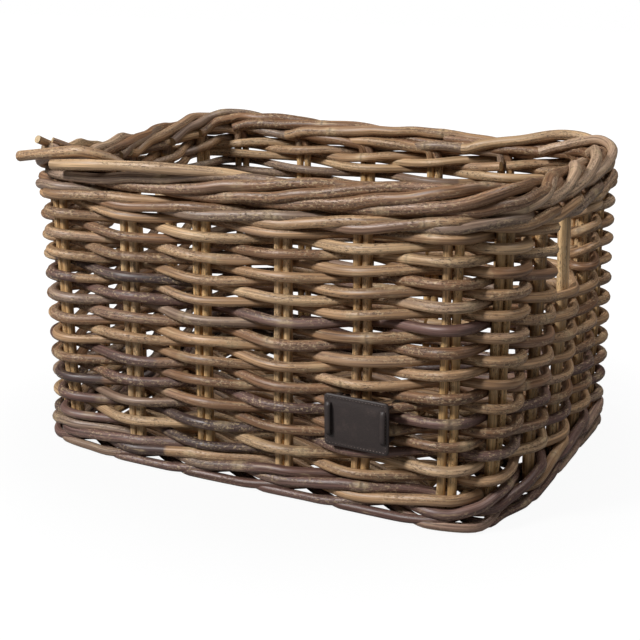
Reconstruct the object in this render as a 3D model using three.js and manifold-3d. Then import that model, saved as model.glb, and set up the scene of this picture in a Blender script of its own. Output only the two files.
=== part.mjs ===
// A rattan bicycle basket: doubled stakes bent over into a rolled border, plain-woven walls with a
// hand hole in each end, a woven base on a foot ring, and a leather tag.  Millimetres, +Z up, front at -Y.
import * as THREE from "three";
import { mergeVertices } from "three/addons/utils/BufferGeometryUtils.js";
import Module from "manifold-3d";

// Middle line of the wall, seen from above
const WALL_LENGTH = 424;
const WALL_WIDTH = 302;
const CORNER_RADIUS = 50;
const CORNER_LIFT = 9;

// Rods
const STAKE_D = 7.6;
const WEAVER_D = 8.2;
const FOOT_D = 8.8;
const STICK_D = 8.4;
const ROD_SIDES = 6;
const STAKE_SIDES = 5;
const STICK_SIDES = 8;
const CLEARANCE = 0.35;
const ROW_GAP = 0.6;
const WALE_GAP = 1;
const JOIN_GAP = 3;

// Stakes stand in pairs, spread along each side from one corner's inset to the other's
const LONG_SIDE_PAIRS = 6;
const LONG_SIDE_INSET = 32;
const SHORT_SIDE_PAIRS = 5;
const SHORT_SIDE_INSET = 33;
const WEAVE_SLACK = 0.34;
const CORNER_PASS = 4.8;

// Rows, from the foot up
const PLAIN_ROWS = 15;
const HOLE_ROWS = 6;
const WALE_RODS = 3;
const TURN_STEP = THREE.MathUtils.degToRad(50);
const JAMB_TAIL = 6;

// Rolled border: both rods of a pair wind round the rim's centre line
const BORDER_RADIUS = 10.6;
const BORDER_RISE = 9.1;
const BORDER_BEND = 7;
const BORDER_TURN = THREE.MathUtils.degToRad(120);
const BORDER_LEAD = THREE.MathUtils.degToRad(54);
const LOW_ROD_RUN = [0.16, 0.5, 0.85, 1.2, 1.55, 1.9, 2.2, 2.5];
const HIGH_ROD_RUN = [0.05, 0.4, 0.75, 1.1, 1.45, 1.8, 2.1];

// A filler rod laid on the border, whose cut end stands out at the front left corner
const FILLER_D = 8.6;
const FILLER_INNER_X = -118;
const FILLER_END_INSET = 5;
const FILLER_ANGLE = THREE.MathUtils.degToRad(40);

// Base
const BASE_STRAND_GAP = 1.8;
const BASE_PASSES = 13;
const END_STICK_INSET = 34;
const STICK_SHORT_OF_WALL = 6;
const EDGE_STRAND_PAST_STICK = 13;

// Leather tag over one pair and just over one row of the front, tied on by a thong near each end
const TAG_PAIR = 4;
const TAG_ROW = 5;
const TAG_OVER_ROW = 2;
const TAG_WIDTH = 55;
const TAG_HEIGHT = 42;
const TAG_THICK = 2.6;
const TAG_CORNER = 5;
const TAG_CORNER_STEPS = 3;
const THONG_WIDTH = 3.6;
const THONG_THICK = 1;
const THONG_INSET = 4.5;
const THONG_ROWS = 3;

// What follows from the sizes above
const RUN_X = WALL_LENGTH - 2 * CORNER_RADIUS;
const RUN_Y = WALL_WIDTH - 2 * CORNER_RADIUS;
const ARC = (Math.PI / 2) * CORNER_RADIUS;
const PERIMETER = 2 * (RUN_X + RUN_Y) + 4 * ARC;
const PAIR_COUNT = 2 * (LONG_SIDE_PAIRS + SHORT_SIDE_PAIRS);
const LONG_SIDE_PITCH = (WALL_LENGTH - 2 * LONG_SIDE_INSET) / (LONG_SIDE_PAIRS - 1);
const SHORT_SIDE_PITCH = (WALL_WIDTH - 2 * SHORT_SIDE_INSET) / (SHORT_SIDE_PAIRS - 1);
const FLAT = Math.cos(Math.PI / ROD_SIDES);
// The stakes' few-sided section has the area of a round rod.
const STAKE_TURN = (2 * Math.PI) / STAKE_SIDES;
const STAKE_ACROSS = STAKE_D * Math.sqrt(STAKE_TURN / Math.sin(STAKE_TURN));
const LEG_OFFSET = (STAKE_D + 2 * CLEARANCE) / 2;
const PASS_REACH = (STAKE_D + WEAVER_D) / 2 + CLEARANCE;
const LONG_SIDE_OFFSET = passOffset(PASS_REACH, LEG_OFFSET, LONG_SIDE_PITCH) + WEAVE_SLACK;
const SHORT_SIDE_OFFSET = passOffset(PASS_REACH, LEG_OFFSET, SHORT_SIDE_PITCH) + WEAVE_SLACK;
const WALL_FACE = Math.max(LONG_SIDE_OFFSET, SHORT_SIDE_OFFSET) + WEAVER_D / 2;
const ROW_PITCH = WEAVER_D + ROW_GAP;
const WALE_PITCH = WEAVER_D + WALE_GAP;
const FOOT_Z = (FOOT_D / 2) * FLAT;
const STICK_Z = 2 * FOOT_Z + CLEARANCE + STICK_D / 2;
const BOTTOM_WALE_Z = 2 * FOOT_Z + CLEARANCE + (WEAVER_D + WALE_PITCH) / 2;
const FIRST_ROW_Z = BOTTOM_WALE_Z + WALE_PITCH / 2 + ROW_PITCH;
const FIRST_HOLE_ROW_Z = FIRST_ROW_Z + PLAIN_ROWS * ROW_PITCH;
const TOP_WALE_Z = FIRST_HOLE_ROW_Z + HOLE_ROWS * ROW_PITCH + WALE_PITCH / 2;
const BORDER_Z = TOP_WALE_Z + WALE_PITCH / 2 + BORDER_RISE + BORDER_RADIUS;
const STAKE_FOOT_Z = LEG_OFFSET + STAKE_ACROSS / 2 + CLEARANCE;

const stakeRattan = new THREE.MeshStandardMaterial({ color: 0x8f7140, roughness: 0.6, metalness: 0 });
const weaverRattan = new THREE.MeshStandardMaterial({ color: 0x86684c, roughness: 0.65, metalness: 0 });
const darkRattan = new THREE.MeshStandardMaterial({ color: 0x4f3a33, roughness: 0.65, metalness: 0 });
const leather = new THREE.MeshStandardMaterial({ color: 0x2a1d1a, roughness: 0.55, metalness: 0 });

// How far off the middle line a straight strand has to pass so that it clears the stakes of a pair.
function passOffset(reach, halfPair, pitch) {
  return reach / Math.sqrt((1 - (2 * halfPair) / pitch) ** 2 - ((2 * reach) / pitch) ** 2);
}

// The wall's middle line at a distance s from mid front, anticlockwise: its point and outward direction.
function wallAt(s) {
  let left = THREE.MathUtils.euclideanModulo(s + RUN_X / 2, PERIMETER);
  for (let side = 0; ; side = (side + 1) % 4) {
    const run = side % 2 ? RUN_Y : RUN_X;
    if (left > run + ARC) {
      left -= run + ARC;
      continue;
    }
    const depth = (side % 2 ? WALL_LENGTH : WALL_WIDTH) / 2 - CORNER_RADIUS;
    const along = Math.min(left, run) - run / 2;
    const facing = ((side - 1) * Math.PI) / 2;
    const turned = facing + Math.max(0, left - run) / CORNER_RADIUS;
    const out = new THREE.Vector2(Math.cos(turned), Math.sin(turned));
    const hub = new THREE.Vector2(depth, along).rotateAround(new THREE.Vector2(), facing);
    return { point: hub.addScaledVector(out, CORNER_RADIUS), out };
  }
}

// A point at s along the wall, n outside its middle line and z up; the rim rises towards the corners.
function place(s, n, z) {
  const { point, out } = wallAt(s);
  const corner = (2 * point.x * 2 * point.y) / (WALL_LENGTH * WALL_WIDTH);
  const lift = CORNER_LIFT * corner ** 2 * (z / BORDER_Z) ** 2;
  return new THREE.Vector3(point.x + n * out.x, point.y + n * out.y, z + lift);
}

// The pairs in order from the front left, with the ones next to a corner marked.
const pairs = [];
for (let side = 0; side < 4; side++) {
  const count = side % 2 ? SHORT_SIDE_PAIRS : LONG_SIDE_PAIRS;
  const pitch = side % 2 ? SHORT_SIDE_PITCH : LONG_SIDE_PITCH;
  const straightOffset = side % 2 ? SHORT_SIDE_OFFSET : LONG_SIDE_OFFSET;
  for (let i = 0; i < count; i++) {
    const s = (side * PERIMETER) / 4 + (i - (count - 1) / 2) * pitch;
    const last = i === count - 1;
    const atCorner = i === 0 || last;
    pairs.push({ s, last, atCorner, offset: atCorner ? WALL_FACE - WEAVER_D / 2 : straightOffset });
  }
}

function pairAt(k) {
  return pairs[THREE.MathUtils.euclideanModulo(k, PAIR_COUNT)];
}

function pairS(k) {
  return pairAt(k).s + PERIMETER * Math.floor(k / PAIR_COUNT);
}

function betweenPairsS(at) {
  const k = Math.floor(at);
  return THREE.MathUtils.lerp(pairS(k), pairS(k + 1), at - k);
}

// A path through given stations, which keeps a tube's rings on those stations.  A section that isn't
// round keeps its first direction along a given one.
class StationPath extends THREE.Curve {
  constructor(stations, across) {
    super();
    this.stations = stations;
    this.across = across;
  }

  getPoint(t, target = new THREE.Vector3()) {
    const at = t * (this.stations.length - 1);
    const i = Math.min(Math.floor(at), this.stations.length - 2);
    return target.lerpVectors(this.stations[i], this.stations[i + 1], at - i);
  }

  getTangent(t, target = new THREE.Vector3()) {
    const last = this.stations.length - 1;
    const i = Math.round(t * last);
    const here = this.stations[i];
    const into = here.clone().sub(this.stations[Math.max(i - 1, 0)]).normalize();
    const onward = this.stations[Math.min(i + 1, last)].clone().sub(here).normalize();
    return target.copy(into).add(onward).normalize();
  }

  getUtoTmapping(u) {
    return u;
  }

  computeFrenetFrames(segments, closed) {
    const frames = super.computeFrenetFrames(segments, closed);
    if (!this.across) return frames;
    frames.tangents.forEach((tangent, i) => {
      frames.normals[i].copy(this.across).projectOnPlane(tangent).normalize();
      frames.binormals[i].crossVectors(tangent, frames.normals[i]);
    });
    return frames;
  }
}

// A rod's section, with a flat across its first direction.
function rodSection(diameter, sides = ROD_SIDES) {
  const corners = [];
  for (let i = 0; i < sides; i++) {
    const angle = ((i + 0.5) * 2 * Math.PI) / sides;
    corners.push(new THREE.Vector2(Math.cos(angle), Math.sin(angle)).multiplyScalar(diameter / 2));
  }
  return new THREE.Shape(corners);
}

// The section of two weavers side by side, flat above and below.
function doubleSection(width, height) {
  const corners = rodSection(1)
    .getPoints()
    .map(({ x, y }) => new THREE.Vector2(y * width, x * height));
  return new THREE.Shape(corners);
}

function tube(stations, section, across) {
  return new THREE.ExtrudeGeometry(section, {
    steps: stations.length - 1,
    extrudePath: new StationPath(stations, across),
    bevelEnabled: false,
  });
}

const basket = new THREE.Group();

function add(name, geometry, material) {
  const mesh = new THREE.Mesh(geometry, material);
  mesh.name = name;
  basket.add(mesh);
  return mesh;
}

// Stations where a strand passes pair k on one side of the wall.
function passPair(k, side, z) {
  const pair = pairAt(k);
  const offsets = pair.atCorner ? [-CORNER_PASS, CORNER_PASS] : [0];
  return offsets.map((offset) => ({ s: pairS(k) + offset, n: side * pair.offset, z }));
}

function toPoints(stations) {
  return stations.map(({ s, n, z }) => place(s, n, z));
}

// Closes a strand that goes once round: its two ends butt at the pair where it starts.
function buttEnds(stations) {
  stations[0].s += JOIN_GAP / 2;
  stations[stations.length - 1].s -= JOIN_GAP / 2;
  return stations;
}

function plainSide(row, k) {
  return THREE.MathUtils.euclideanModulo(row + k, 2) ? -1 : 1;
}

// A run of plain weave from one pair to another, in either direction.
function plainRun(row, from, to, z) {
  const stations = [];
  const step = Math.sign(to - from);
  for (let k = from; k !== to + step; k += step) {
    const pass = passPair(k, plainSide(row, k), z);
    stations.push(...(step > 0 ? pass : pass.reverse()));
    const low = step > 0 ? k : k - 1;
    if (k !== to && pairAt(low).last) stations.push({ s: betweenPairsS(low + 0.5), n: 0, z });
  }
  return stations;
}

// The back wall's pairs that aren't next to a corner, where rows start inside the wall.
const BACK_START = LONG_SIDE_PAIRS + SHORT_SIDE_PAIRS + 1;

function plainRow(row) {
  const wanted = BACK_START + 2 * (Math.floor(row / 2) % 2);
  const start = plainSide(row, wanted) < 0 ? wanted : wanted + 1;
  return buttEnds(plainRun(row, start, start + PAIR_COUNT, FIRST_ROW_Z + row * ROW_PITCH));
}

// One rod of a three-rod wale: outside two pairs, lower then upper, then inside one.
function waleRod(rod, middleZ) {
  const upper = middleZ + WALE_PITCH / 2;
  const lower = middleZ - WALE_PITCH / 2;
  const phases = [
    { side: 1, z: lower, crosses: false, crossZ: middleZ },
    { side: 1, z: upper, crosses: true, crossZ: upper },
    { side: -1, z: middleZ, crosses: true, crossZ: lower },
  ];
  const stations = [];
  for (let k = BACK_START; k <= BACK_START + PAIR_COUNT; k++) {
    const phase = phases[(k + rod) % WALE_RODS];
    stations.push(...passPair(k, phase.side, phase.z));
    if (k === BACK_START + PAIR_COUNT) break;
    if (phase.crosses || pairAt(k).last) {
      const n = phase.crosses ? 0 : pairAt(k).offset;
      stations.push({ s: betweenPairsS(k + 0.5), n, z: phase.crossZ });
    }
  }
  return buttEnds(stations);
}

// A strand's half turn round a rod, clear of it by reach: how far out, to the side and along at each point.
function halfTurn(reach) {
  const radius = reach / Math.cos(TURN_STEP / 2);
  return [1, 0, -1].map((turn) => ({
    out: radius * Math.cos(turn * TURN_STEP),
    aside: radius * Math.sin(turn * TURN_STEP),
    share: 0.5 - 0.25 * turn,
  }));
}

// A panel beside the hand holes: one weaver to and fro, turning back round the jamb pairs.
function holePanel(from, to) {
  const stations = [];
  for (let i = 0; i < HOLE_ROWS; i++) {
    const row = PLAIN_ROWS + i;
    const z = FIRST_HOLE_ROW_Z + i * ROW_PITCH;
    const ends = i % 2 ? [to, from] : [from, to];
    const onward = Math.sign(ends[1] - ends[0]);
    const run = plainRun(row, ends[0], ends[1], z);
    const end = run[run.length - 1];
    if (i === 0) run.unshift({ ...run[0], s: run[0].s - onward * JAMB_TAIL });
    if (i === HOLE_ROWS - 1) run.push({ ...end, s: end.s + onward * JAMB_TAIL });
    stations.push(...run);
    if (i === HOLE_ROWS - 1) break;
    for (const { out, aside, share } of halfTurn(PASS_REACH)) {
      stations.push({
        s: pairS(ends[1]) + onward * (LEG_OFFSET + out),
        n: plainSide(row, ends[1]) * aside,
        z: z + share * ROW_PITCH,
      });
    }
  }
  return stations;
}

// A border rod of pair k winds from under the rim over the outside and the top to the inside.
function borderRun(k, lead, run) {
  return run.map((at) => {
    const angle = -Math.PI / 2 + lead + BORDER_TURN * at;
    return {
      s: betweenPairsS(k + at),
      n: BORDER_RADIUS * Math.cos(angle),
      z: BORDER_Z + BORDER_RADIUS * Math.sin(angle),
    };
  });
}

// One rod bent double at the foot: two legs side by side, each ending in the border.
function stakePair(k) {
  const s = pairS(k);
  const legTop = BORDER_Z - BORDER_RADIUS - BORDER_BEND;
  const left = s - LEG_OFFSET;
  const right = s + LEG_OFFSET;
  return [
    ...borderRun(k, BORDER_LEAD, HIGH_ROD_RUN).reverse(),
    { s: left, n: 0, z: legTop },
    { s: left, n: 0, z: STAKE_FOOT_Z },
    { s, n: 0, z: STAKE_FOOT_Z - LEG_OFFSET },
    { s: right, n: 0, z: STAKE_FOOT_Z },
    { s: right, n: 0, z: legTop },
    ...borderRun(k, 0, LOW_ROD_RUN),
  ];
}

// manifold-3d only joins and cuts: geometry goes in and comes back as a BufferGeometry.
const WELD_DISTANCE = 0.001;
const wasm = await Module();
wasm.setup();

function toSolid(geometry) {
  const bare = new THREE.BufferGeometry().setAttribute("position", geometry.getAttribute("position"));
  if (geometry.index) bare.setIndex(geometry.index);
  const merged = mergeVertices(bare, WELD_DISTANCE);
  const vertProperties = merged.getAttribute("position").array;
  const triVerts = new Uint32Array(merged.index.array);
  return new wasm.Manifold(new wasm.Mesh({ numProp: 3, vertProperties, triVerts }));
}

function cut(geometry, ...tools) {
  let solid = toSolid(geometry);
  for (const tool of tools) solid = solid.subtract(toSolid(tool));
  const { vertProperties, triVerts } = solid.getMesh();
  const made = new THREE.BufferGeometry();
  made.setAttribute("position", new THREE.BufferAttribute(vertProperties, 3));
  made.setIndex(new THREE.BufferAttribute(triVerts, 1));
  return made;
}

// Everything under the floor, to cut flat what stands on it.
function underFloor() {
  return new THREE.BoxGeometry(WALL_LENGTH, WALL_WIDTH, FOOT_D).translate(0, 0, -FOOT_D / 2);
}

const stakeSection = rodSection(STAKE_ACROSS, STAKE_SIDES);
for (let k = 0; k < PAIR_COUNT; k++) {
  const number = String(k + 1).padStart(2, "0");
  add(`stake_pair_${number}`, tube(toPoints(stakePair(k)), stakeSection), stakeRattan);
}

const weaverSection = rodSection(WEAVER_D);
const UPWARD = new THREE.Vector3(0, 0, 1);
for (let row = 0; row < PLAIN_ROWS; row++) {
  const number = String(row + 1).padStart(2, "0");
  add(`weaver_row_${number}`, tube(toPoints(plainRow(row)), weaverSection, UPWARD), weaverRattan);
}

for (let rod = 0; rod < WALE_RODS; rod++) {
  add(`bottom_wale_rod_${rod + 1}`, tube(toPoints(waleRod(rod, BOTTOM_WALE_Z)), weaverSection), darkRattan);
  add(`top_wale_rod_${rod + 1}`, tube(toPoints(waleRod(rod, TOP_WALE_Z)), weaverSection), weaverRattan);
}

// The hand holes lie between the pairs on both sides of the middle pair of each short side.
const RIGHT_MIDDLE = LONG_SIDE_PAIRS + (SHORT_SIDE_PAIRS - 1) / 2;
const LEFT_MIDDLE = RIGHT_MIDDLE + PAIR_COUNT / 2;
const frontPanel = holePanel(LEFT_MIDDLE + 1 - PAIR_COUNT, RIGHT_MIDDLE - 1);
const backPanel = holePanel(RIGHT_MIDDLE + 1, LEFT_MIDDLE - 1);
add("front_hole_weaver", tube(toPoints(frontPanel), weaverSection), weaverRattan);
add("back_hole_weaver", tube(toPoints(backPanel), weaverSection), weaverRattan);

// The foot ring runs in and out round the stakes' feet and has a level underside.
const footRing = buttEnds(plainRun(1, BACK_START + 1, BACK_START + 1 + PAIR_COUNT, FOOT_Z));
add("foot_ring", tube(toPoints(footRing), rodSection(FOOT_D)), darkRattan);

// Base sticks reach from front to back between the pairs and end at the bottom wale.
const STICK_COUNT = LONG_SIDE_PAIRS - 1;
const STICK_LENGTH = WALL_WIDTH - 2 * STICK_SHORT_OF_WALL;
const stickX = [];
for (let i = 0; i < STICK_COUNT; i++) {
  const x = (i - (STICK_COUNT - 1) / 2) * LONG_SIDE_PITCH;
  stickX.push(x);
  const stick = new THREE.CylinderGeometry(STICK_D / 2, STICK_D / 2, STICK_LENGTH, STICK_SIDES);
  add(`base_stick_${i + 1}`, stick, stakeRattan).position.set(x, 0, STICK_Z);
}

// The passes and the two edge strands share the width inside the foot ring, cut to tenths of a millimetre.
const BASE_STRANDS = BASE_PASSES + 2;
const BASE_ROOM = WALL_WIDTH - 2 * LONG_SIDE_OFFSET - FOOT_D - 2 * CLEARANCE;
const STRAND_ROOM = (BASE_ROOM + BASE_STRAND_GAP) / BASE_STRANDS - BASE_STRAND_GAP;
const BASE_STRAND_WIDTH = Math.floor(10 * STRAND_ROOM) / 10;
const STRAND_PITCH = BASE_STRAND_WIDTH + BASE_STRAND_GAP;
const END_STICK_X = WALL_LENGTH / 2 - END_STICK_INSET;
const END_STICK_LENGTH = BASE_PASSES * STRAND_PITCH + BASE_STRAND_WIDTH / 2;
for (const [name, x] of [["left", -END_STICK_X], ["right", END_STICK_X]]) {
  const stick = new THREE.CylinderGeometry(STICK_D / 2, STICK_D / 2, END_STICK_LENGTH, STICK_SIDES);
  add(`base_end_stick_${name}`, stick, stakeRattan).position.set(x, 0, STICK_Z);
}

// The base strand goes to and fro over and under the sticks, and turns round the end sticks.
const BASE_REACH = (STICK_D + WEAVER_D * FLAT) / 2 + CLEARANCE;
const BASE_OFFSET = passOffset(BASE_REACH, 0, END_STICK_X - stickX[STICK_COUNT - 1]);
const EDGE_OFFSET = passOffset(BASE_REACH, 0, LONG_SIDE_PITCH);
const baseSection = doubleSection(BASE_STRAND_WIDTH, WEAVER_D);
const crossings = [-END_STICK_X, ...stickX, END_STICK_X];

// One pass over and under the sticks, which starts over or under the first of them.
function basePass(starts, y, xs, offset) {
  return xs.map((x, i) => new THREE.Vector3(x, y, STICK_Z + starts * (-1) ** i * offset));
}

function baseStrand() {
  const points = [];
  for (let pass = 0; pass < BASE_PASSES; pass++) {
    const y = (pass - (BASE_PASSES - 1) / 2) * STRAND_PITCH;
    const run = basePass((-1) ** pass, y, crossings, BASE_OFFSET);
    if (pass % 2) run.reverse();
    points.push(...run);
    if (pass === BASE_PASSES - 1) break;
    const end = run[run.length - 1];
    for (const { out, aside, share } of halfTurn(BASE_REACH)) {
      const x = end.x + Math.sign(end.x) * out;
      const z = STICK_Z + Math.sign(end.z - STICK_Z) * aside;
      points.push(new THREE.Vector3(x, y + share * STRAND_PITCH, z));
    }
  }
  return points;
}

const FRONT_TO_BACK = new THREE.Vector3(0, 1, 0);
add("base_strand", cut(tube(baseStrand(), baseSection, FRONT_TO_BACK), underFloor()), weaverRattan);

for (const [name, side] of [["front", -1], ["back", 1]]) {
  const y = (side * (BASE_PASSES + 1) * STRAND_PITCH) / 2;
  const run = basePass(1, y, stickX, EDGE_OFFSET);
  const past = new THREE.Vector3(EDGE_STRAND_PAST_STICK, 0, 0);
  const whole = [run[0].clone().sub(past), ...run, run[run.length - 1].clone().add(past)];
  add(`base_edge_strand_${name}`, tube(whole, baseSection, FRONT_TO_BACK), weaverRattan);
}

// The filler rod lies along the front border and runs out level past the rounded corner.
const fillerReach = BORDER_RADIUS + (STAKE_ACROSS + FILLER_D) / 2 + CLEARANCE;
const fillerInner = place(
  FILLER_INNER_X,
  fillerReach * Math.cos(FILLER_ANGLE),
  BORDER_Z + fillerReach * Math.sin(FILLER_ANGLE),
);
const fillerOuter = fillerInner.clone().setX(FILLER_END_INSET - WALL_LENGTH / 2);
add("border_filler_rod", tube([fillerInner, fillerOuter], rodSection(FILLER_D)), stakeRattan);

// The tag hangs flat on the outside of the front weave.
const tagShape = new THREE.Shape()
  .moveTo(TAG_CORNER - TAG_WIDTH / 2, -TAG_HEIGHT / 2)
  .lineTo(TAG_WIDTH / 2 - TAG_CORNER, -TAG_HEIGHT / 2)
  .quadraticCurveTo(TAG_WIDTH / 2, -TAG_HEIGHT / 2, TAG_WIDTH / 2, TAG_CORNER - TAG_HEIGHT / 2)
  .lineTo(TAG_WIDTH / 2, TAG_HEIGHT / 2 - TAG_CORNER)
  .quadraticCurveTo(TAG_WIDTH / 2, TAG_HEIGHT / 2, TAG_WIDTH / 2 - TAG_CORNER, TAG_HEIGHT / 2)
  .lineTo(TAG_CORNER - TAG_WIDTH / 2, TAG_HEIGHT / 2)
  .quadraticCurveTo(-TAG_WIDTH / 2, TAG_HEIGHT / 2, -TAG_WIDTH / 2, TAG_HEIGHT / 2 - TAG_CORNER)
  .lineTo(-TAG_WIDTH / 2, TAG_CORNER - TAG_HEIGHT / 2)
  .quadraticCurveTo(-TAG_WIDTH / 2, -TAG_HEIGHT / 2, TAG_CORNER - TAG_WIDTH / 2, -TAG_HEIGHT / 2);
const TAG_X = pairS(TAG_PAIR);
const THONGS_Z = FIRST_ROW_Z + TAG_ROW * ROW_PITCH;
const TAG_Z = THONGS_Z + TAG_OVER_ROW;
const TAG_BACK_Y = -WALL_WIDTH / 2 - WALL_FACE - CLEARANCE;
const tagBody = new THREE.ExtrudeGeometry(tagShape, {
  depth: TAG_THICK,
  bevelEnabled: false,
  curveSegments: TAG_CORNER_STEPS,
});
tagBody.rotateX(Math.PI / 2).translate(TAG_X, TAG_BACK_Y, TAG_Z);

// A thong goes in through the tag between two rows, and its ends lie behind the weave.
const thongHalf = (THONG_ROWS * ROW_PITCH) / 2;
const thongFront = TAG_BACK_Y - TAG_THICK - CLEARANCE - THONG_THICK / 2;
const thongBehind = -WALL_WIDTH / 2 + WALL_FACE + CLEARANCE + THONG_THICK / 2;
const thongSection = new THREE.Shape()
  .moveTo(-THONG_WIDTH / 2, -THONG_THICK / 2)
  .lineTo(THONG_WIDTH / 2, -THONG_THICK / 2)
  .lineTo(THONG_WIDTH / 2, THONG_THICK / 2)
  .lineTo(-THONG_WIDTH / 2, THONG_THICK / 2);
const THONG_SPREAD = TAG_WIDTH / 2 - THONG_INSET;
const LEFT_TO_RIGHT = new THREE.Vector3(1, 0, 0);
const SLOT_WIDTH = THONG_WIDTH + 2 * CLEARANCE;
const SLOT_DEPTH = 3 * TAG_THICK;
const SLOT_HEIGHT = THONG_THICK + 2 * CLEARANCE;
const slots = [];
for (const [name, side] of [["left", -1], ["right", 1]]) {
  const x = TAG_X + side * THONG_SPREAD;
  const level = (z) => place(x, 0, THONGS_Z + z).z;
  const path = [
    [thongBehind, -thongHalf + ROW_PITCH],
    [thongBehind, -thongHalf],
    [thongFront, -thongHalf],
    [thongFront, thongHalf],
    [thongBehind, thongHalf],
    [thongBehind, thongHalf - ROW_PITCH],
  ].map(([y, z]) => new THREE.Vector3(x, y, level(z)));
  add(`tag_thong_${name}`, tube(path, thongSection, LEFT_TO_RIGHT), leather);
  for (const end of [-1, 1]) {
    const slot = new THREE.BoxGeometry(SLOT_WIDTH, SLOT_DEPTH, SLOT_HEIGHT);
    slots.push(slot.translate(x, TAG_BACK_Y, level(end * thongHalf)));
  }
}
add("leather_tag", cut(tagBody, ...slots), leather);

export default basket;
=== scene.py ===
# A rattan bicycle basket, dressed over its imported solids.  Metres, +Z up, the front at -Y.
import math

import bpy
import numpy as np
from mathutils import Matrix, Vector


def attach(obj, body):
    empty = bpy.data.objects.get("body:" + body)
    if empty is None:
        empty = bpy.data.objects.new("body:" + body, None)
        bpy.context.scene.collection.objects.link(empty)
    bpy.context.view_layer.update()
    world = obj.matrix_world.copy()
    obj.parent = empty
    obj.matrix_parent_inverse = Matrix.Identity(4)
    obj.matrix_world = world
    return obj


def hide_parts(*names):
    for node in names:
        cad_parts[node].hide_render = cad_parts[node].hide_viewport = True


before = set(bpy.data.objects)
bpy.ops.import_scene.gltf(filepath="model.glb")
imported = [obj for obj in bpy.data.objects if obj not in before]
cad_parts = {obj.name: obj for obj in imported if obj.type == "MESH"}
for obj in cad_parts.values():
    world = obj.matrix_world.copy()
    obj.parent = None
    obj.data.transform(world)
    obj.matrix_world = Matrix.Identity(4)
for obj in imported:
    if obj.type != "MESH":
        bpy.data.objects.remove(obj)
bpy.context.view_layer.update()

# Base sticks
# Seven rattan rods with their bark on, cut square, laid from front to back up to the bottom wale.
# The base is woven over and under them; the two end sticks hold the turns of its strand.
STICK_D = 0.008148
STICK_Z = 0.01217
STICK_X = [-0.144, -0.072, 0.0, 0.072, 0.144]
STICK_HALF_LENGTH = 0.1445
END_STICK_X = 0.178
END_STICK_HALF_LENGTH = 0.122

rng = np.random.default_rng(20)


class Wire:
    """A socket in a material's nodes.  Sums and products of wires that carry values add Math nodes."""

    def __init__(self, tree, socket):
        self.tree = tree
        self.socket = socket

    @classmethod
    def node(cls, tree, kind, settings=None, sockets=None, output=0):
        made = tree.nodes.new(kind)
        for name, value in (settings or {}).items():
            setattr(made, name, value)
        for name, value in (sockets or {}).items():
            if isinstance(value, Wire):
                tree.links.new(value.socket, made.inputs[name])
            else:
                made.inputs[name].default_value = value
        return cls(tree, made.outputs[output]) if made.outputs else None

    def math(self, operation, first, second):
        return Wire.node(self.tree, "ShaderNodeMath", {"operation": operation}, {0: first, 1: second})

    def __add__(self, other):
        return self.math("ADD", self, other)

    def __radd__(self, other):
        return self.math("ADD", other, self)

    def __sub__(self, other):
        return self.math("SUBTRACT", self, other)

    def __rsub__(self, other):
        return self.math("SUBTRACT", other, self)

    def __mul__(self, other):
        return self.math("MULTIPLY", self, other)

    def __rmul__(self, other):
        return self.math("MULTIPLY", other, self)

    def ramp(self, low, high):
        """0 below low and 1 above high, with a soft step between."""
        settings = {"interpolation_type": "SMOOTHSTEP"}
        sockets = {"Value": self, "From Min": low, "From Max": high}
        return Wire.node(self.tree, "ShaderNodeMapRange", settings, sockets)

    def mixed(self, other, share, blend="MIX"):
        """This colour with a share of another."""
        settings = {"data_type": "RGBA", "blend_type": blend}
        return Wire.node(self.tree, "ShaderNodeMix", settings, {0: share, 6: self, 7: other}, 2)

    def stretched(self, scale):
        """This vector with each direction scaled."""
        settings = {"operation": "MULTIPLY"}
        return Wire.node(self.tree, "ShaderNodeVectorMath", settings, {0: self, 1: scale})

    def noise(self, scale, detail=3.0, roughness=0.55):
        """Noise over this vector, with its own scale along and across."""
        sockets = {
            "Vector": self.stretched(scale), "Scale": 1.0,
            "Detail": detail, "Roughness": roughness,
        }
        return Wire.node(self.tree, "ShaderNodeTexNoise", None, sockets)


def new_finish(name):
    """An empty material and its nodes."""
    material = bpy.data.materials.new(name)
    material.use_nodes = True
    material.node_tree.nodes.clear()
    return material, material.node_tree


def linear(colour):
    """A written sRGB colour as Blender's linear one."""
    r, g, b = (c / 12.92 if c < 0.04045 else ((c + 0.055) / 1.055) ** 2.4 for c in colour)
    return (r, g, b, 1.0)


BARK = linear((0.17, 0.105, 0.075))
STAIN = linear((0.36, 0.24, 0.17))
WEATHERED = linear((0.50, 0.42, 0.37))
DUSKY = linear((0.57, 0.475, 0.43))
PALE_SKIN = linear((0.83, 0.73, 0.57))
PITH = linear((0.78, 0.68, 0.53))
PORES = linear((0.33, 0.25, 0.18))
DARK_FIBRE = (0.45, 0.40, 0.36, 1)
LIGHT_FIBRE = (1.45, 1.43, 1.4, 1)


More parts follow.
